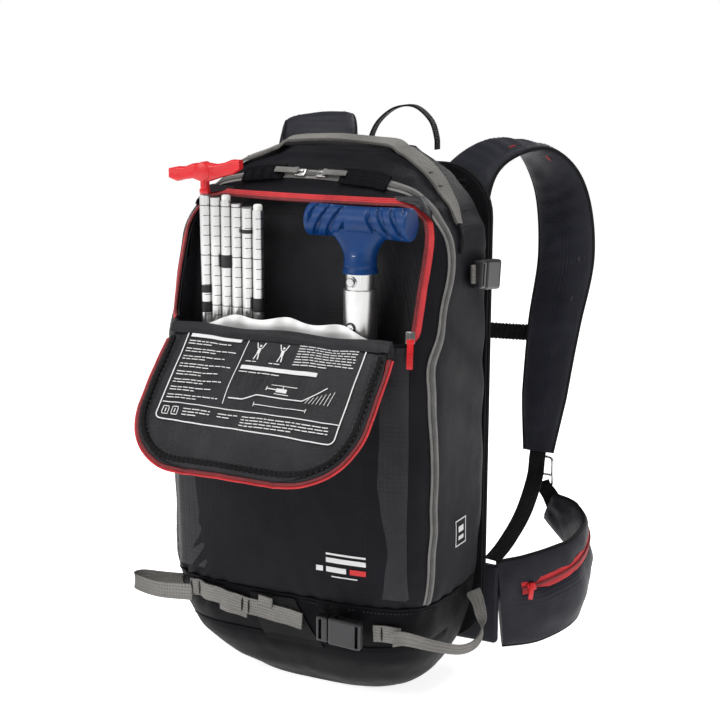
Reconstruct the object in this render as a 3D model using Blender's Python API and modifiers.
"""Avalanche airbag backpack, modelled at rest as it stands on its base with the tool flap open.

Metres, +Z up. The origin is the centre of the flat base. The front, away from the wearer, faces -Y and the
padded back faces +Y, so the wearer's right side is at +X.
"""

import math

import bmesh
import bpy
from mathutils import Matrix, Vector

# ---------------------------------------------------------------- driving dimensions
BODY_HEIGHT = 0.555        # base to the top of the fabric body
BODY_HALF_WIDTH = 0.153    # at the widest section
BODY_FRONT = 0.118         # from the origin forward to the fullest part of the front
BODY_BACK = 0.072          # from the origin back to the open rear edge of the fabric body
CLOTH = 0.0022             # wall of a fabric panel with its lining
GAP = 0.0006               # clearance between neighbouring pieces

# Height, half width, front and back as shares of the body's own, then the roundness of that section.
BODY_SHAPE = (
    (0.000, 0.56, 0.42, 0.88, 2.8),
    (0.012, 0.67, 0.51, 0.92, 2.9),
    (0.035, 0.77, 0.65, 0.96, 3.1),
    (0.085, 0.89, 0.83, 1.00, 3.5),
    (0.150, 0.96, 0.94, 1.00, 4.0),
    (0.240, 0.99, 0.98, 1.00, 4.4),
    (0.420, 1.00, 1.00, 1.00, 4.6),
    (0.600, 1.00, 1.00, 1.00, 4.6),
    (0.690, 1.00, 0.97, 1.00, 4.6),
    (0.780, 1.00, 0.84, 1.00, 4.6),
    (0.860, 0.98, 0.70, 1.00, 4.4),
    (0.915, 0.87, 0.57, 1.00, 4.2),
    (0.965, 0.69, 0.42, 0.97, 3.6),
    (1.000, 0.44, 0.10, 0.88, 3.0),
)

BASE_SEAM = 0.114          # height of the seam that the front folds forward about, above the base bucket

LIP = 0.382                # height of the tool pocket's lower lip, where its flap folds
OPENING_TOP = 0.510
OPENING_HALF_WIDTH = 0.136
OPENING_CORNER = 0.040
POCKET_FLOOR = 0.124
POCKET_HALF_WIDTH = 0.134
POCKET_BACK = -0.058       # the tool pocket's back wall, below the lip
POCKET_LEAN = 0.020        # how far that wall leans back above the lip
POCKET_WALL = 0.0016

FLAP_LENGTH = 0.162
FLAP_HALF_WIDTH = 0.130
FLAP_CORNER = 0.066
FLAP_THICKNESS = 0.009
FLAP_HANG = 46.0           # how far the open flap hangs below the horizontal, in degrees
FLAP_AXIS_OUT = 0.007      # the fold stands this far in front of the body

TUBE_RADIUS = 0.0056       # probe sections
TUBE_LENGTH = 0.384
TUBE_STEP = 0.0025         # each section ends this much lower than the one before
TUBE_PITCH = 0.0122
TUBE_COUNT = 6
PROBE_X = -0.104           # axis of the first section
TOOL_Y = -0.0855           # plane of the tools' axes
TOOL_FLOOR = POCKET_FLOOR + POCKET_WALL + 0.0006

SHAFT_X = 0.071
SHAFT_RADIUS = 0.0165
SHAFT_WALL = 0.0016
SHAFT_FIT = 0.0005         # radial clearance between the two shafts
SHAFT_TOP = 0.428
INNER_SHOWS = 0.016        # how much of the inner shaft stands out of the outer one
INNER_INSIDE = 0.105
GRIP_WIDTH = 0.110
GRIP_RADIUS = 0.0150
GRIP_Z = 0.493             # axis of the grip's bar
BUTTON_RADIUS = 0.0036

BLADE_WIDTH = 0.192
BLADE_TOP = 0.397
BLADE_HEIGHT = 0.235
BLADE_SHEET = 0.0022
BLADE_Y = -0.1062

WEB = 0.0016               # thickness of webbing
BUCKLE_WIDTH = 0.030
BUCKLE_LENGTH = 0.036
BUCKLE_THICKNESS = 0.011
BUCKLE_FIT = 0.0004

PAD_BACK = 0.018           # thickness of the back panel's foam
SHEET = 0.0020             # frame sheet
STAY = (0.018, 0.0030)     # frame stay, width and thickness
STRAP_PAD = 0.012          # thickness of a shoulder strap
BELT_PAD = 0.015
BACK_TOP = 0.534

CYLINDER_RADIUS = 0.0290
CYLINDER_LENGTH = 0.170
CYLINDER_FOOT = (-0.088, 0.018, 0.118)


# ---------------------------------------------------------------- scene and materials
for old in list(bpy.data.objects):
    bpy.data.objects.remove(old, do_unlink=True)

part = bpy.data.collections.new("Avalanche_airbag_backpack")
cutters = bpy.data.collections.new("Cutters")
cutters.hide_render = True
bpy.context.scene.collection.children.link(part)
bpy.context.scene.collection.children.link(cutters)


def material(name, colour, roughness=0.7, metallic=0.0):
    made = bpy.data.materials.new(name)
    made.use_nodes = True
    shader = made.node_tree.nodes["Principled BSDF"]
    shader.inputs["Base Color"].default_value = (*colour, 1.0)
    shader.inputs["Roughness"].default_value = roughness
    shader.inputs["Metallic"].default_value = metallic
    return made


SHELL = material("shell_fabric", (0.018, 0.018, 0.021), 0.75)
LINING = material("lining_fabric", (0.028, 0.028, 0.033), 0.55)
PADDING = material("padding_fabric", (0.022, 0.023, 0.032), 0.6)
BLACK_WEB = material("black_webbing", (0.012, 0.012, 0.013), 0.8)
GREY_WEB = material("grey_webbing", (0.32, 0.30, 0.27), 0.8)
BUCKLE = material("buckle_plastic", (0.014, 0.014, 0.016), 0.4)
ALLOY = material("alloy", (0.80, 0.80, 0.78), 0.25, 1.0)
STEEL = material("steel", (0.60, 0.60, 0.60), 0.2, 1.0)
BLUE = material("grip_plastic", (0.010, 0.090, 0.380), 0.4)
RED = material("handle_plastic", (0.620, 0.020, 0.025), 0.4)
SHEET_PLASTIC = material("frame_plastic", (0.05, 0.05, 0.055), 0.5)
BLADDER = material("bladder_nylon", (0.75, 0.16, 0.02), 0.6)


# ---------------------------------------------------------------- modelling tools
def place(name, mesh, mat, cutter=False):
    """An object for the mesh, in the part's collection or among the cutters."""
    made = bpy.data.objects.new(name, mesh)
    (cutters if cutter else part).objects.link(made)
    if cutter:
        made.hide_render = True
        made.display_type = "WIRE"
    elif mat:
        mesh.materials.append(mat)
    return made


def smooth(obj, angle=40.0):
    obj.data.shade_smooth()
    obj.data.set_sharp_from_angle(angle=math.radians(angle))
    return obj


def loft(name, rings, mat=None, cutter=False):
    """A closed solid through rings of equal point counts, each listed counter-clockwise seen from the last ring."""
    work = bmesh.new()
    rows = [[work.verts.new(p) for p in ring] for ring in rings]
    count = len(rings[0])
    for low, high in zip(rows, rows[1:]):
        for i in range(count):
            j = (i + 1) % count
            work.faces.new((low[i], low[j], high[j], high[i]))
    work.faces.new(list(reversed(rows[0])))
    work.faces.new(rows[-1])
    bmesh.ops.recalc_face_normals(work, faces=work.faces)
    mesh = bpy.data.meshes.new(name)
    work.to_mesh(mesh)
    work.free()
    return place(name, mesh, mat, cutter)


def box(name, size, centre, mat=None, bevel=0.0, cutter=False, turn=None):
    """A cuboid primitive with its scale applied, and its edges rounded where bevel is given."""
    work = bmesh.new()
    bmesh.ops.create_cube(work, size=1.0, matrix=Matrix.Diagonal((*size, 1.0)))
    mesh = bpy.data.meshes.new(name)
    work.to_mesh(mesh)
    work.free()
    made = place(name, mesh, mat, cutter)
    made.matrix_world = Matrix.Translation(centre) @ (turn or Matrix.Identity(4))
    if bevel:
        rounded = made.modifiers.new("rounded", "BEVEL")
        rounded.width = bevel
        rounded.segments = 2
    return made


def rod(name, start, end, radius, mat=None, sides=14, end_radius=None, cutter=False):
    """A cylinder or cone between two points."""
    start, end = Vector(start), Vector(end)
    along = end - start
    work = bmesh.new()
    bmesh.ops.create_cone(
        work, cap_ends=True, segments=sides, radius1=radius,
        radius2=radius if end_radius is None else end_radius, depth=along.length,
    )
    mesh = bpy.data.meshes.new(name)
    work.to_mesh(mesh)
    work.free()
    made = place(name, mesh, mat, cutter)
    turn = along.to_track_quat("Z", "Y").to_matrix().to_4x4()
    made.matrix_world = Matrix.Translation((start + end) / 2) @ turn
    return smooth(made)


def outline(name, points, thickness, frame, mat=None, cutter=False):
    """A flat outline in the XY plane of frame, with its thickness along that frame's Z, made a welded mesh."""
    curve = bpy.data.curves.new(name, "CURVE")
    curve.dimensions = "2D"
    curve.fill_mode = "BOTH"
    curve.extrude = thickness / 2
    spline = curve.splines.new("POLY")
    spline.points.add(len(points) - 1)
    for point, (x, y) in zip(spline.points, points):
        point.co = (x, y, 0.0, 1.0)
    spline.use_cyclic_u = True
    guide = bpy.data.objects.new(name + "_outline", curve)
    bpy.context.scene.collection.objects.link(guide)
    graph = bpy.context.evaluated_depsgraph_get()
    mesh = bpy.data.meshes.new_from_object(guide.evaluated_get(graph))
    bpy.data.objects.remove(guide, do_unlink=True)
    work = bmesh.new()
    work.from_mesh(mesh)
    bmesh.ops.remove_doubles(work, verts=work.verts, dist=0.00001)
    bmesh.ops.recalc_face_normals(work, faces=work.faces)
    work.to_mesh(mesh)
    work.free()
    made = place(name, mesh, mat, cutter)
    made.matrix_world = frame
    return made


def boolean(obj, other, operation="DIFFERENCE"):
    cut = obj.modifiers.new(operation.lower(), "BOOLEAN")
    cut.operation = operation
    cut.solver = "EXACT"
    cut.object = other
    return obj


def settled(obj):
    """The object with its modifiers applied, so that it can be cut again or used as a cutter."""
    bpy.context.view_layer.update()
    graph = bpy.context.evaluated_depsgraph_get()
    mesh = bpy.data.meshes.new_from_object(obj.evaluated_get(graph))
    obj.modifiers.clear()
    obj.data = mesh
    return obj


def curve_through(points, count):
    """Count points on one smooth Catmull-Rom curve through the given points."""
    path = [Vector(p) for p in points]
    path = [path[0] * 2 - path[1], *path, path[-1] * 2 - path[-2]]
    spans = len(path) - 3
    made = []
    for i in range(count):
        u = i / (count - 1) * spans
        k = min(int(u), spans - 1)
        t = u - k
        a, b, c, d = path[k:k + 4]
        made.append(0.5 * (2 * b + (c - a) * t + (2 * a - 5 * b + 4 * c - d) * t * t
                           + (3 * b - a - 3 * c + d) * t ** 3))
    return made


def along_list(values, count):
    """Count values read evenly along a short list, straight between its entries."""
    made = []
    for i in range(count):
        u = i / (count - 1) * (len(values) - 1)
        k = min(int(u), len(values) - 2)
        made.append(values[k] + (values[k + 1] - values[k]) * (u - k))
    return made


def sweep(name, path, widths, thicknesses, across, mat, padded=False):
    """A band along a path. across gives its width's direction at each point; a padded band has chamfered edges."""
    rings = []
    for i, point in enumerate(path):
        along = (path[min(i + 1, len(path) - 1)] - path[max(i - 1, 0)]).normalized()
        wide = Vector(across[i])
        wide = (wide - along * wide.dot(along)).normalized()
        thick = along.cross(wide)
        w, t = widths[i] / 2, thicknesses[i] / 2
        if padded:
            corners = ((-1, 0.3), (-1, -0.3), (-0.82, -1), (0.82, -1), (1, -0.3), (1, 0.3), (0.82, 1),
                       (-0.82, 1))
        else:
            corners = ((-1, 1), (-1, -1), (1, -1), (1, 1))
        rings.append([point + wide * w * a + thick * t * b for a, b in corners])
    return loft(name, rings, mat)


def rounded_rectangle(x0, x1, y0, y1, radii, steps=5):
    """Counter-clockwise corners from the lower left; radii are those of the four corners in that order."""
    centres = ((x0, y0, 180), (x1, y0, 270), (x1, y1, 0), (x0, y1, 90))
    signs = ((1, 1), (-1, 1), (-1, -1), (1, -1))
    points = []
    for (x, y, first), (sx, sy), radius in zip(centres, signs, radii):
        if radius <= 0:
            points.append((x, y))
            continue
        for i in range(steps + 1):
            angle = math.radians(first + 90.0 * i / steps)
            points.append((x + sx * radius + radius * math.cos(angle),
                           y + sy * radius + radius * math.sin(angle)))
    return points


# ---------------------------------------------------------------- the body's form
def body_at(z):
    """Half width, front, back and roundness of the body at a height."""
    share = min(max(z / BODY_HEIGHT, 0.0), 1.0)
    for low, high in zip(BODY_SHAPE, BODY_SHAPE[1:]):
        if share <= high[0]:
            u = (share - low[0]) / (high[0] - low[0])
            width, front, back, power = (low[i] + (high[i] - low[i]) * u for i in (1, 2, 3, 4))
            return BODY_HALF_WIDTH * width, -BODY_FRONT * front, BODY_BACK * back, power
    return None


def body_point(z, angle, out=0.0):
    """A point on the body's section at a height, moved outwards; angle 0 is +X and -90 the front, in degrees."""
    half, front, back, roundness = body_at(z)
    middle, depth = (front + back) / 2, (back - front) / 2
    c, s = math.cos(math.radians(angle)), math.sin(math.radians(angle))
    share = 2.0 / roundness
    x = math.copysign(abs(c) ** share, c)
    y = math.copysign(abs(s) ** share, s)
    power = roundness - 1
    normal = Vector((math.copysign(abs(x) ** power, c) / half, math.copysign(abs(y) ** power, s) / depth,
                     0.0))
    return Vector((half * x, middle + depth * y, z)) + normal.normalized() * out


def body_solid(name, inset=0.0, sides=44):
    rings = []
    for share, *_ in BODY_SHAPE:
        z = share * BODY_HEIGHT
        height = min(max(z, inset), BODY_HEIGHT - inset)
        rings.append([body_point(z, 360.0 * (i + 0.5) / sides, -inset) for i in range(sides)])
        for point in rings[-1]:
            point.z = height
    return loft(name, rings, cutter=True)


def front_y(z):
    return body_at(z)[1]


# ---------------------------------------------------------------- fabric body
ZIP_LINE = (  # the main zip seen from the side, as (y, z), from its lower end over the top
    (-0.080, BASE_SEAM - 0.02), (-0.080, 0.270), (-0.086, 0.330), (-0.084, 0.365), (-0.066, 0.405),
    (-0.054, 0.440), (-0.050, 0.480), (-0.047, 0.510), (-0.050, 0.524), (-0.062, 0.538), (-0.300, 0.620),
)
SIDE_FRAME = Matrix(((0, 0, 1, 0), (1, 0, 0, 0), (0, 1, 0, 0),
                     (0, 0, 0, 1)))  # an outline's x, y become y, z
WIDE = 0.6


def shifted(points, dy, dz):
    return [(y + dy, z + dz) for y, z in points]


def region(name, points):
    """A cutter that fills a side-view outline over the whole width."""
    return outline(name, points, WIDE, SIDE_FRAME, cutter=True)


def fabric_panel(name, *cuts):
    """A part of the body's wall: the hollow body, then each (cutter, operation) in turn."""
    panel = body_solid(name + "_form")
    panel.name = name
    cutters.objects.unlink(panel)
    part.objects.link(panel)
    panel.hide_render = False
    panel.display_type = "TEXTURED"
    panel.data.materials.append(SHELL)
    boolean(panel, HOLLOW)
    for cutter, operation in cuts:
        boolean(panel, cutter, operation)
    return smooth(settled(panel))


HOLLOW = body_solid("hollow", CLOTH)
rear_limit = box("rear_limit", (WIDE, 0.2, WIDE * 2), (0, BODY_BACK - CLOTH - 0.002 + 0.1, 0.3),
                 cutter=True)
below_seam = box("below_seam", (WIDE, WIDE, 0.2), (0, 0, BASE_SEAM + GAP / 2 - 0.1), cutter=True)
above_seam = box("above_seam", (WIDE, WIDE, WIDE), (0, 0, BASE_SEAM - GAP / 2 + WIDE / 2), cutter=True)
door_side = region("door_side", [(-0.3, BASE_SEAM - 0.02), *shifted(ZIP_LINE, -GAP / 2, 0.0)])
rear_side = region("rear_side", [*shifted(ZIP_LINE, GAP / 2, GAP), (-0.3, 0.7), (0.3, 0.7),
                                 (0.3, BASE_SEAM - 0.02)])

FRONT_FRAME = Matrix(((1, 0, 0, 0), (0, 0, -1, 0), (0, 1, 0, 0),
                      (0, 0, 0, 1)))  # an outline's x, y become x, z
opening = outline(
    "opening",
    rounded_rectangle(-OPENING_HALF_WIDTH, OPENING_HALF_WIDTH, LIP, OPENING_TOP,
                      (0.012, 0.012, OPENING_CORNER, OPENING_CORNER)),
    0.16, Matrix.Translation((0, -0.12, 0)) @ FRONT_FRAME, cutter=True,
)

fabric_panel("base_panel", (above_seam, "DIFFERENCE"), (rear_limit, "DIFFERENCE"))
fabric_panel("rear_shell", (below_seam, "DIFFERENCE"), (rear_side, "INTERSECT"), (rear_limit, "DIFFERENCE"))
fabric_panel("front_panel", (below_seam, "DIFFERENCE"), (door_side, "INTERSECT"), (opening, "DIFFERENCE"))


# ---------------------------------------------------------------- tool pocket and its flap
def pocket_profile(inset):
    """The pocket seen from the side, as (y, z). Its back wall leans back above the lip, as the body's front does."""
    floor, top = POCKET_FLOOR + inset, OPENING_TOP + 0.008 - inset
    back = POCKET_BACK - inset
    return [(-0.2, floor), (back, floor), (back, LIP), (back + POCKET_LEAN, top), (-0.2, top)]


inside = body_solid("pocket_limit", CLOTH + GAP)
liner = outline("tool_pocket", pocket_profile(0.0), 2 * POCKET_HALF_WIDTH, SIDE_FRAME, LINING)
pocket_space = outline("pocket_space", pocket_profile(POCKET_WALL), 2 * (POCKET_HALF_WIDTH - POCKET_WALL),
                       SIDE_FRAME, cutter=True)
boolean(liner, pocket_space)
boolean(liner, inside, "INTERSECT")
settled(liner)

FLAP_AXIS = Vector((0.0, front_y(LIP) - FLAP_AXIS_OUT, LIP))
hang = math.radians(FLAP_HANG)
# the flap's frame: x across, y along the flap away from its fold, z out of its lining
FLAP_FRAME = Matrix.Translation(FLAP_AXIS) @ Matrix(
    ((1, 0, 0, 0), (0, -math.cos(hang), -math.sin(hang), 0), (0, -math.sin(hang), math.cos(hang), 0),
     (0, 0, 0, 1))
)
FLAP_FRAME = FLAP_FRAME @ Matrix.Translation((0, 0, -FLAP_THICKNESS / 2))
flap_edge = rounded_rectangle(-FLAP_HALF_WIDTH, FLAP_HALF_WIDTH, 0.006, FLAP_LENGTH,
                              (0.010, 0.010, FLAP_CORNER, FLAP_CORNER), 6)
outline("flap_panel", flap_edge, FLAP_THICKNESS, FLAP_FRAME, LINING)


# ---------------------------------------------------------------- probe
def tool_point(x, z, y=TOOL_Y):
    return Vector((x, y, z))


for i in range(TUBE_COUNT):
    x = PROBE_X + TUBE_PITCH * i
    top = TOOL_FLOOR + TUBE_LENGTH - TUBE_STEP * i
    rod(f"probe_section_{i + 1}", tool_point(x, TOOL_FLOOR), tool_point(x, top), TUBE_RADIUS, ALLOY)

probe_top = TOOL_FLOOR + TUBE_LENGTH + GAP
STUB = 0.014
stub = rod("probe_handle", tool_point(PROBE_X, probe_top), tool_point(PROBE_X, probe_top + STUB + 0.0071),
           TUBE_RADIUS - 0.0012, RED, 12)
wings = [(-0.040, -0.008), (-0.036, -0.013), (-0.016, -0.006), (-0.008, -0.010), (0.008, -0.0105),
         (0.016, -0.0055),
         (0.036, -0.003), (0.042, 0.006), (0.037, 0.013), (0.012, 0.0085), (-0.012, 0.009), (-0.038, 0.004)]
bar = outline("probe_handle_wings", wings, 0.011,
              Matrix.Translation(tool_point(PROBE_X, probe_top + STUB + 0.008)) @ FRONT_FRAME, cutter=True)
settled(boolean(stub, bar, "UNION"))


# ---------------------------------------------------------------- shovel
inner_foot = SHAFT_TOP - INNER_INSIDE
neck_foot = SHAFT_TOP + INNER_SHOWS
SHAFT_FOOT = 0.180
outer = rod("shaft_outer", tool_point(SHAFT_X, SHAFT_FOOT), tool_point(SHAFT_X, SHAFT_TOP), SHAFT_RADIUS,
            ALLOY, 24)
bore = rod("shaft_bore", tool_point(SHAFT_X, SHAFT_FOOT - 0.01), tool_point(SHAFT_X, SHAFT_TOP + 0.01),
           SHAFT_RADIUS - SHAFT_WALL, sides=24, cutter=True)
low_button_z = SHAFT_TOP - 0.036
high_button_z = SHAFT_TOP + 0.0085
button_hole = rod("button_hole", tool_point(SHAFT_X - 0.002, low_button_z, TOOL_Y - 0.03),
                  tool_point(SHAFT_X - 0.002, low_button_z, TOOL_Y), BUTTON_RADIUS + 0.0004, sides=16,
                  cutter=True)
boolean(outer, bore)
smooth(settled(boolean(outer, button_hole)))

inner_radius = SHAFT_RADIUS - SHAFT_WALL - SHAFT_FIT
inner = rod("shaft_inner", tool_point(SHAFT_X, inner_foot), tool_point(SHAFT_X, neck_foot + 0.018),
            inner_radius, ALLOY, 24)
inner_bore = rod("inner_bore", tool_point(SHAFT_X, inner_foot - 0.01),
                 tool_point(SHAFT_X, neck_foot + 0.03),
                 inner_radius - SHAFT_WALL, sides=24, cutter=True)
boolean(inner, inner_bore)
groove_foot = inner_foot - 0.010
groove = box("inner_groove", (2 * BUTTON_RADIUS + 0.0010, 0.030, low_button_z - groove_foot),
             (SHAFT_X - 0.002, TOOL_Y - 0.015, (low_button_z + groove_foot) / 2), cutter=True)
boolean(inner, groove)  # the lower button runs in it while the shaft draws out
for number, z in ((1, low_button_z), (2, high_button_z)):
    hole = rod(f"inner_button_hole_{number}", tool_point(SHAFT_X - 0.002, z, TOOL_Y - 0.03),
               tool_point(SHAFT_X - 0.002, z, TOOL_Y), BUTTON_RADIUS + 0.0004, sides=16, cutter=True)
    boolean(inner, hole)
    rod(f"shaft_button_{number}", tool_point(SHAFT_X - 0.002, z, TOOL_Y - SHAFT_RADIUS - 0.0016),
        tool_point(SHAFT_X - 0.002, z, TOOL_Y - SHAFT_RADIUS + 0.007), BUTTON_RADIUS, STEEL, 14)
smooth(settled(inner))

grip = rod("shovel_grip", tool_point(SHAFT_X, neck_foot), tool_point(SHAFT_X, GRIP_Z), 0.0172, BLUE, 20,
           0.0130)
grip_bar = rod("grip_bar", tool_point(SHAFT_X - GRIP_WIDTH / 2, GRIP_Z),
               tool_point(SHAFT_X + GRIP_WIDTH / 2, GRIP_Z),
               GRIP_RADIUS, sides=18, cutter=True)
grip_socket = rod("grip_socket", tool_point(SHAFT_X, neck_foot - 0.01),
                  tool_point(SHAFT_X, neck_foot + 0.0186),
                  inner_radius + 0.0004, sides=24, cutter=True)
boolean(grip, grip_bar, "UNION")
smooth(settled(boolean(grip, grip_socket)))

blade_low = BLADE_TOP - BLADE_HEIGHT
half_blade = BLADE_WIDTH / 2
BLADE_RISE = (0.000, 0.004, 0.001, 0.003, 0.000, 0.003, 0.001, 0.004, 0.000)  # ribs across the blade
blade_rings = []
for level in range(6):
    u = level / 5
    z = blade_low + BLADE_HEIGHT * u
    half = half_blade * (0.88 + 0.12 * u)
    front_row = []
    back_row = []
    for k, rise in enumerate(BLADE_RISE):
        v = k / (len(BLADE_RISE) - 1) * 2 - 1
        lift = 0.012 * (abs(v) ** 3) if level == 5 else 0.0
        point = Vector((half * v, BLADE_Y + rise * 0.6, z - lift))
        front_row.append(point)
        back_row.append(point + Vector((0, -BLADE_SHEET, 0)))
    blade_rings.append(front_row + list(reversed(back_row)))
loft("shovel_blade", blade_rings, ALLOY)


# ------------------------------------------------- frame, back panel and what the pack holds inside
back_y = BODY_BACK - CLOTH - 0.002 + GAP


def back_outline(half, low, high, corner):
    return rounded_rectangle(-half, half, low, high, (corner, corner, corner * 1.4, corner * 1.4))


def back_plate(name, half, low, high, corner, thickness, y, mat):
    """A plate whose forward face is at y."""
    return outline(name, back_outline(half, low, high, corner), thickness,
                   Matrix.Translation((0, y + thickness / 2, 0)) @ FRONT_FRAME, mat)


back_plate("frame_sheet", 0.140, 0.026, BACK_TOP, 0.045, SHEET, back_y, SHEET_PLASTIC)
back_plate("back_pad", 0.134, 0.022, BACK_TOP - 0.004, 0.050, PAD_BACK, back_y + SHEET + GAP, PADDING)
for side, sign in (("right", 1), ("left", -1)):
    box(f"frame_stay_{side}", (STAY[0], STAY[1], 0.440),
        (sign * 0.058, back_y - GAP - STAY[1] / 2, 0.275), ALLOY,
        0.0008)

bladder = body_solid("bladder_form", 0.0075)
bladder.name = "airbag_bladder"
cutters.objects.unlink(bladder)
part.objects.link(bladder)
bladder.hide_render = False
bladder.display_type = "TEXTURED"
bladder.data.materials.append(BLADDER)
bladder_room = box("bladder_room", (0.5, 0.068, 0.2), (0, 0.020, 0.435 + 0.1), cutter=True)
settled(boolean(bladder, bladder_room, "INTERSECT"))

cx, cy, cz = CYLINDER_FOOT
shoulder = CYLINDER_LENGTH * 0.86
profile = [(0.0, 0.0), (CYLINDER_RADIUS * 0.8, 0.0), (CYLINDER_RADIUS, 0.008), (CYLINDER_RADIUS, shoulder),
           (CYLINDER_RADIUS * 0.86, shoulder + 0.011), (0.0125, shoulder + 0.018),
           (0.0125, CYLINDER_LENGTH + 0.010),
           (0.0, CYLINDER_LENGTH + 0.010)]


def revolve(name, profile, mat, matrix, steps=24):
    """A solid of revolution about Z from (radius, height) pairs, starting and ending on the axis."""
    mesh = bpy.data.meshes.new(name)
    mesh.from_pydata([(r, 0, z) for r, z in profile], [(i, i + 1) for i in range(len(profile) - 1)], [])
    made = place(name, mesh, mat)
    made.matrix_world = matrix
    turned = made.modifiers.new("turned", "SCREW")
    turned.angle = math.tau
    turned.steps = steps
    turned.render_steps = steps
    turned.axis = "Z"
    turned.use_merge_vertices = True
    turned.merge_threshold = 0.0001
    turned.use_normal_calculate = True
    return smooth(settled(made))


revolve("gas_cylinder", profile, STEEL, Matrix.Translation((cx, cy, cz)))
unit_foot = cz + CYLINDER_LENGTH + 0.010 + GAP
unit = box("inflation_unit", (0.052, 0.044, 0.046), (cx, cy, unit_foot + 0.023), BUCKLE, 0.004)
venturi = rod("venturi", (cx + 0.020, cy, unit_foot + 0.025), (cx + 0.075, cy, unit_foot + 0.030), 0.017,
              sides=20, cutter=True)
outlet = rod("outlet", (cx + 0.058, cy, unit_foot + 0.028), (cx + 0.058, cy, unit_foot + 0.100), 0.012,
             sides=20, cutter=True)
settled(unit)
boolean(unit, venturi, "UNION")
smooth(settled(boolean(unit, outlet, "UNION")))
gauge_y = cy - 0.022 - GAP
rod("pressure_gauge", (cx, gauge_y, unit_foot + 0.024), (cx, gauge_y - 0.009, unit_foot + 0.024), 0.012,
    STEEL, 20)


def tube(name, path, radius, mat, sides=10):
    """A round tube along a path, closed at both ends."""
    rings = []
    side = Vector((1, 0, 0))
    for i, point in enumerate(path):
        along = (path[min(i + 1, len(path) - 1)] - path[max(i - 1, 0)]).normalized()
        side = (side - along * side.dot(along)).normalized()
        other = along.cross(side)
        rings.append([point + (side * math.cos(math.tau * k / sides) + other * math.sin(math.tau * k / sides)) * radius
                      for k in range(sides)])
    return smooth(loft(name, rings, mat))


cable = curve_through([(cx - 0.030, cy + 0.004, unit_foot + 0.023),
                       (cx - 0.040, cy + 0.006, unit_foot + 0.028),
                       (cx - 0.042, cy + 0.020, unit_foot + 0.050), (-0.118, 0.0560, 0.405),
                       (-0.100, 0.0580, 0.480), (-0.080, 0.0600, 0.526)], 24)
cable[0].x = cx - 0.026 - GAP
tube("trigger_cable", cable, 0.0024, BLACK_WEB)


# ---------------------------------------------------------------- shoulder straps, sternum strap and hip belt
STRAP_PATHS = {  # the soft straps stand a little differently on each side
    "right": (
        (0.084, 0.1000, 0.470), (0.091, 0.118, 0.516), (0.112, 0.150, 0.545), (0.138, 0.184, 0.545),
        (0.161, 0.209, 0.503), (0.167, 0.220, 0.430), (0.156, 0.218, 0.350), (0.150, 0.210, 0.270),
        (0.148, 0.202, 0.208),
    ),
    "left": (
        (0.078, 0.1000, 0.505), (0.080, 0.112, 0.556), (0.100, 0.146, 0.572), (0.130, 0.184, 0.550),
        (0.156, 0.210, 0.500), (0.163, 0.220, 0.430), (0.156, 0.218, 0.350), (0.150, 0.210, 0.270),
        (0.148, 0.202, 0.208),
    ),
}
STRAP_ACROSS = (
    (1.0, -0.1, 0.0), (1.0, -0.4, 0.0), (0.9, -0.6, -0.1), (0.9, -0.5, 0.0), (1.0, -0.2, 0.1),
    (1.0, 0.1, 0.0), (1.0, 0.1, 0.0), (1.0, 0.1, 0.0), (1.0, 0.1, 0.0),
)
STRAP_WIDTHS = (0.080, 0.078, 0.072, 0.066, 0.062, 0.060, 0.056, 0.048, 0.032)
BELT_PATH = (
    (0.1535, 0.084, 0.066), (0.184, 0.112, 0.070), (0.208, 0.150, 0.082), (0.207, 0.190, 0.102),
    (0.184, 0.220, 0.122), (0.152, 0.232, 0.137),
)
BELT_WIDTHS = (0.096, 0.100, 0.096, 0.080, 0.054, 0.032)


def mirrored(points, sign):
    return [Vector((p[0] * sign, p[1], p[2])) for p in points]


for side, sign in (("right", 1), ("left", -1)):
    path = curve_through(mirrored(STRAP_PATHS[side], sign), 26)
    across = [Vector(a) for a in curve_through(mirrored(STRAP_ACROSS, sign), 26)]
    if sign < 0:
        across = [-a for a in across]
    smooth(sweep(f"shoulder_strap_{side}", path, along_list(STRAP_WIDTHS, 26), [STRAP_PAD] * 26, across,
                 PADDING, True))
    end = path[-1]
    web = curve_through([end + Vector((0, -0.003, -0.006)), end + Vector((0, -0.010, -0.030)),
                         (sign * 0.152, 0.150, 0.150), (sign * 0.150, 0.108, 0.128)], 12)
    sweep(f"strap_webbing_{side}", web, [0.020] * 12, [WEB] * 12, [Vector((1, 0, 0))] * 12, BLACK_WEB)

    belt = curve_through(mirrored(BELT_PATH, sign), 18)
    up = [Vector((0, 0, 1))] * 18
    smooth(sweep(f"belt_wing_{side}", belt, along_list(BELT_WIDTHS, 18), [BELT_PAD] * 18, up,
                 PADDING, True))

HOOK = ((0.1400, 0.2380, 0.1755), 0.026, 0.036)  # the belt's metal buckle: centre, width and height
for side, sign in (("right", 1), ("left", -1)):
    centre, wide, tall = HOOK
    plate = outline(f"belt_buckle_{side}", rounded_rectangle(-wide / 2, wide / 2, -tall / 2, tall / 2,
                                                             (0.006,) * 4, 4),
                    0.003, Matrix.Translation((centre[0] * sign, centre[1], centre[2])) @ FRONT_FRAME,
                    ALLOY)
    hole = outline(f"belt_buckle_hole_{side}",
                   rounded_rectangle(-wide / 2 + 0.004, wide / 2 - 0.004, -tall / 2 + 0.005,
                                     tall / 2 - 0.005,
                                     (0.003,) * 4, 3),
                   0.02, Matrix.Translation((centre[0] * sign, centre[1], centre[2])) @ FRONT_FRAME,
                   cutter=True)
    settled(boolean(plate, hole))


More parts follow.
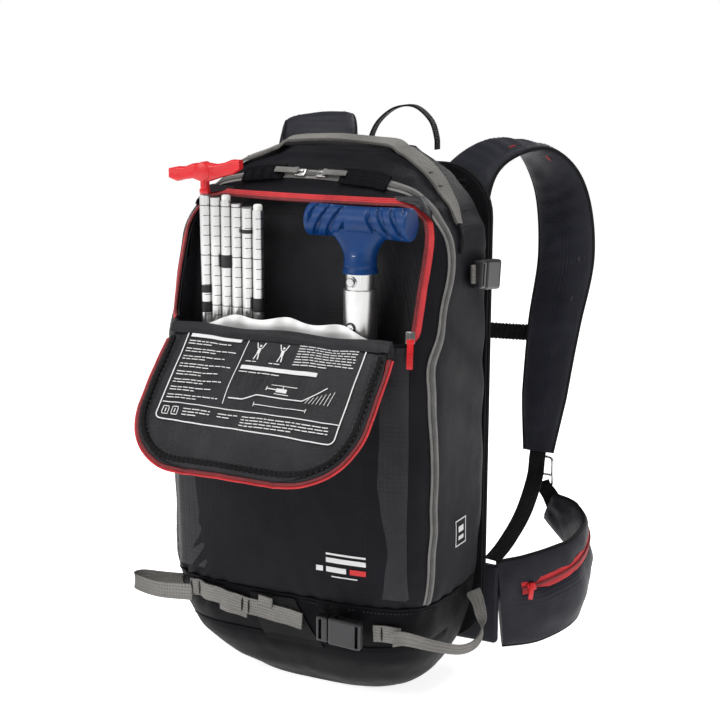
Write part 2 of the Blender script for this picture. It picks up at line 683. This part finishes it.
# ---------------------------------------------------------------- side-release buckles
def side_release(name, frame, width=BUCKLE_WIDTH):
    """A socket and a plug whose mouth is at the frame's origin; the plug leaves along +X and Z faces outwards."""
    length, thick = BUCKLE_LENGTH, BUCKLE_THICKNESS
    wall = 0.0030

    def block(tag, size, centre, cutter=True, bevel=0.0, mat=None):
        return box(f"{name}_{tag}", size, (0, 0, 0), mat, bevel, cutter, frame @ Matrix.Translation(centre))

    socket = block("socket", (length, width, thick), (-length / 2, 0, 0), False, 0.0028, BUCKLE)
    settled(socket)
    inside_width = width - 2 * wall
    inside_thick = thick - 2 * 0.0020
    for tag, size, centre in (
        ("cavity", (length - 0.007, inside_width, inside_thick), (-(length - 0.007) / 2 + 0.001, 0, 0)),
        ("windows", (0.013, width * 2, inside_thick - 0.001), (-0.0125, 0, 0)),
        ("socket_slot", (0.0032, inside_width, thick * 2), (-length + 0.0036, 0, 0)),
    ):
        boolean(socket, block(tag, size, centre))
    smooth(settled(socket))
    plug = block("plug", (0.013, width - 0.002, thick - 0.001), (0.0065 + BUCKLE_FIT, 0, 0), False,
                 0.0022, BUCKLE)
    settled(plug)
    prong_y = inside_width / 2 - BUCKLE_FIT - 0.0019
    for tag, size, centre in (
        ("guide", (0.026, 0.0040, 0.0030), (-0.0120, 0, 0)),
        ("prong_a", (0.024, 0.0038, 0.0046), (-0.0110, prong_y, 0)),
        ("prong_b", (0.024, 0.0038, 0.0046), (-0.0110, -prong_y, 0)),
    ):
        boolean(plug, block(tag, size, centre), "UNION")
    boolean(plug, block("plug_slot", (0.0034, inside_width - 0.002, thick * 2), (0.0085, 0, 0)))
    smooth(settled(plug))


def axes(origin, x, z):
    """A frame from its X and Z directions."""
    x, z = Vector(x).normalized(), Vector(z).normalized()
    y = z.cross(x).normalized()
    x = y.cross(z).normalized()
    turn = Matrix((x, y, z)).transposed().to_4x4()
    return Matrix.Translation(origin) @ turn


def surface_x(z, y, out):
    """How far from the middle the body's side stands at a height and depth, plus an offset."""
    half, front, back, power = body_at(z)
    middle, depth = (front + back) / 2, (back - front) / 2
    share = min(abs(y - middle) / depth, 0.999)
    return half * (1 - share ** power) ** (1 / power) + out


def surface_y(z, x, out):
    half, front, back, power = body_at(z)
    middle, depth = (front + back) / 2, (back - front) / 2
    share = min(abs(x) / half, 0.999)
    return middle - depth * (1 - share ** power) ** (1 / power) - out


def surface_z(x, y, out):
    """Height of the body's top above a place, plus an offset."""
    low, high = 0.3, BODY_HEIGHT
    for _ in range(30):
        z = (low + high) / 2
        half, front, back, power = body_at(z)
        middle, depth = (front + back) / 2, (back - front) / 2
        if abs(x / half) ** power + abs((y - middle) / depth) ** power < 1:
            low = z
        else:
            high = z
    return low + out


for side, sign in (("right", 1), ("left", -1)):
    place_x = surface_x(0.436, 0.006, BUCKLE_THICKNESS / 2 + 0.0012) * sign
    side_release(f"side_buckle_{side}", axes((place_x, 0.006, 0.436), (0, -1, 0.12), (sign, 0, 0)))

BASE_BUCKLE = (0.044, 0.089)
base_y = surface_y(BASE_BUCKLE[1], BASE_BUCKLE[0] + 0.02, BUCKLE_THICKNESS / 2 + 0.0048)
side_release("base_buckle", axes((BASE_BUCKLE[0] + 0.012, base_y, BASE_BUCKLE[1]), (-1, 0, 0.05),
                                 (0, -1, -0.08)))
STERNUM_Y = 0.2275         # the sternum strap lies on the outer faces of the shoulder straps
side_release("sternum_buckle", axes((-0.004, STERNUM_Y, 0.334), (1, 0, 0), (0, 1, 0)), 0.026)


# ---------------------------------------------------------------- webbing, handles and loops
def body_web(name, points, width, mat, out=0.0034, count=18):
    """Webbing laid on the body along (x, z) points on its front."""
    flat = curve_through([(x, 0, z) for x, z in points], count)
    path = [Vector((p.x, surface_y(p.z, p.x, out), p.z)) for p in flat]
    return sweep(name, path, [width] * count, [WEB] * count, [Vector((0, 0, 1))] * count, mat)


body_web("base_web_left", ((-0.112, 0.104), (-0.085, 0.101), (-0.050, 0.096), (-0.010, 0.092),
                           (0.020, 0.088)), 0.020,
         GREY_WEB)
body_web("base_web_right", ((0.098, 0.088), (0.110, 0.088), (0.122, 0.086)), 0.020, GREY_WEB, count=8)

left_loop = curve_through([(-0.112, -0.112, 0.095), (-0.150, -0.116, 0.093), (-0.178, -0.114, 0.096),
                           (-0.185, -0.109, 0.099), (-0.178, -0.104, 0.101), (-0.160, -0.100, 0.100)], 22)
sweep("base_loop_left", left_loop, [0.018] * 22, [WEB] * 22, [Vector((0, 0.1, 1))] * 22, GREY_WEB)
right_loop = curve_through([(0.134, -0.106, 0.087), (0.156, -0.084, 0.076), (0.166, -0.045, 0.061),
                            (0.168, -0.010, 0.057), (0.166, 0.008, 0.068), (0.160, 0.012, 0.090)], 22)
sweep("base_loop_right", right_loop, [0.016] * 22, [WEB] * 22, [Vector((0, 0, 1))] * 22, GREY_WEB)

HANDLE_LINE = ((-0.092, -0.032, 0.0015), (-0.066, -0.016, 0.003), (-0.035, 0.000, 0.005),
               (0.000, 0.008, 0.006),
               (0.035, 0.010, 0.005), (0.068, 0.004, 0.003), (0.094, -0.004, 0.0015),
               (0.120, -0.012, 0.0015))
handle_guide = curve_through(HANDLE_LINE, 30)
handle_path = [Vector((p.x, p.y, surface_z(p.x, p.y, p.z + 0.0045))) for p in handle_guide]
tip_z = handle_path[-1].z
handle_path.append(Vector((surface_x(tip_z - 0.018, -0.016, 0.0050), -0.016, tip_z - 0.018)))
handle_path.append(Vector((surface_x(tip_z - 0.034, -0.018, 0.0045), -0.018, tip_z - 0.034)))
count = len(handle_path)
sweep("top_handle", handle_path, along_list((0.014, 0.016, 0.016, 0.018, 0.024, 0.020, 0.008), count),
      [WEB * 1.4] * count, [Vector((0.1, 1, 0.25))] * count, GREY_WEB)
hang_path = curve_through([(0.002, 0.0730, 0.558), (0.012, 0.0735, 0.578), (0.030, 0.074, 0.591),
                           (0.052, 0.074, 0.593), (0.070, 0.0735, 0.580), (0.078, 0.0730, 0.556)], 20)
sweep("hang_loop", hang_path, [0.010] * 20, [WEB] * 20, [Vector((0, 1, 0))] * 20, BLACK_WEB)

for side, sign in (("right", 1), ("left", -1)):
    inner_x = 0.0105 if sign > 0 else 0.0415
    web = curve_through([(sign * 0.138, STERNUM_Y, 0.337), (sign * 0.08, STERNUM_Y, 0.335),
                         (sign * inner_x, STERNUM_Y, 0.334)], 10)
    sweep(f"sternum_strap_{side}", web, [0.018] * 10, [WEB] * 10, [Vector((0, 0, 1))] * 10, BLACK_WEB)

trigger = Vector((-0.168, 0.2385, 0.432))
handle = rod("trigger_handle", trigger + Vector((0, 0, 0.030)), trigger + Vector((0, 0, -0.032)), 0.0090,
             RED, 16)
handle_bar = box("trigger_bar", (0.034, 0.013, 0.020), trigger + Vector((0, 0, -0.030)), cutter=True)
smooth(settled(boolean(handle, handle_bar, "UNION")))


# ---------------------------------------------------------------- zip sliders with their pulls
def slider(name, origin, along, outward, mat):
    """A slider body with its pull tab lying beside it."""
    frame = axes(origin, along, outward)
    body = box(name, (0.011, 0.008, 0.0040), (0, 0, 0), mat, 0.0010, turn=frame)
    settled(body)
    tab = box(name + "_tab", (0.026, 0.0065, 0.0016), (0, 0, 0), cutter=True,
              turn=frame @ Matrix.Translation((0.0155, 0, 0.0020)))
    return smooth(settled(boolean(body, tab, "UNION")))


ZIP_TOP = 0.5285
zip_y = surface_y(ZIP_TOP, 0.0, 0.0045)
slider("main_zip_slider_left", (-0.012, zip_y, ZIP_TOP), (-1, 0, 0), (0, -0.85, 0.52), GREY_WEB)
slider("main_zip_slider_right", (0.012, zip_y, ZIP_TOP), (1, 0, 0), (0, -0.85, 0.52), GREY_WEB)
SLIDER_X = 0.130
slider("pocket_zip_slider", (SLIDER_X, surface_y(0.390, SLIDER_X, 0.0050), 0.390), (0, -0.1, -1),
       (0.35, -0.9, 0), RED)
